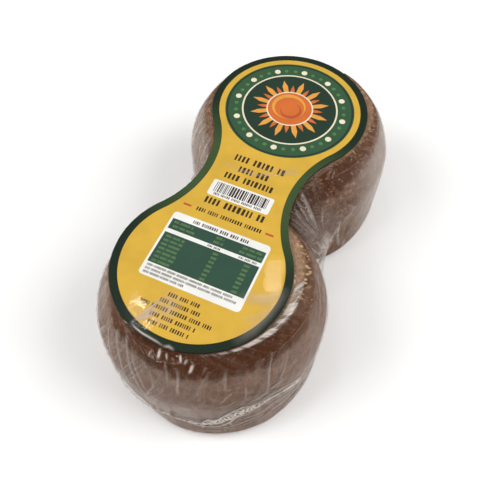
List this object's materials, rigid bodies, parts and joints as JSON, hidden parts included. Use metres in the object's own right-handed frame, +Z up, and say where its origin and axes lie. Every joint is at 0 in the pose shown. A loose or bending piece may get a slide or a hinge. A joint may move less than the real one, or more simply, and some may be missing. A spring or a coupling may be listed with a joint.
{
  "type": "wrapped pack of round panela sugar blocks",
  "caption": "Round blocks of brown whole cane sugar lying side by side in clear shrink film under a waisted paper label, to be unwrapped and then grated or dissolved.",
  "frame": {"origin": "centre of the pack's underside, on the plane that it stands on", "axes": "+Z up, +Y along the pack towards the emblem end of its label, +X across it towards the side where the film is folded and not sealed"},
  "size_m": [0.0754, 0.1488, 0.0457],
  "materials": {
    "panela": "matte, finely crystalline cast sugar",
    "label": "smooth coated card, printed",
    "film": "clear glossy shrink film, hazy where it is folded"
  },
  "bodies": {
    "root": {"panela_near": "panela", "panela_far": "panela", "label": "label", "film": "film"}
  },
  "joints": []
}
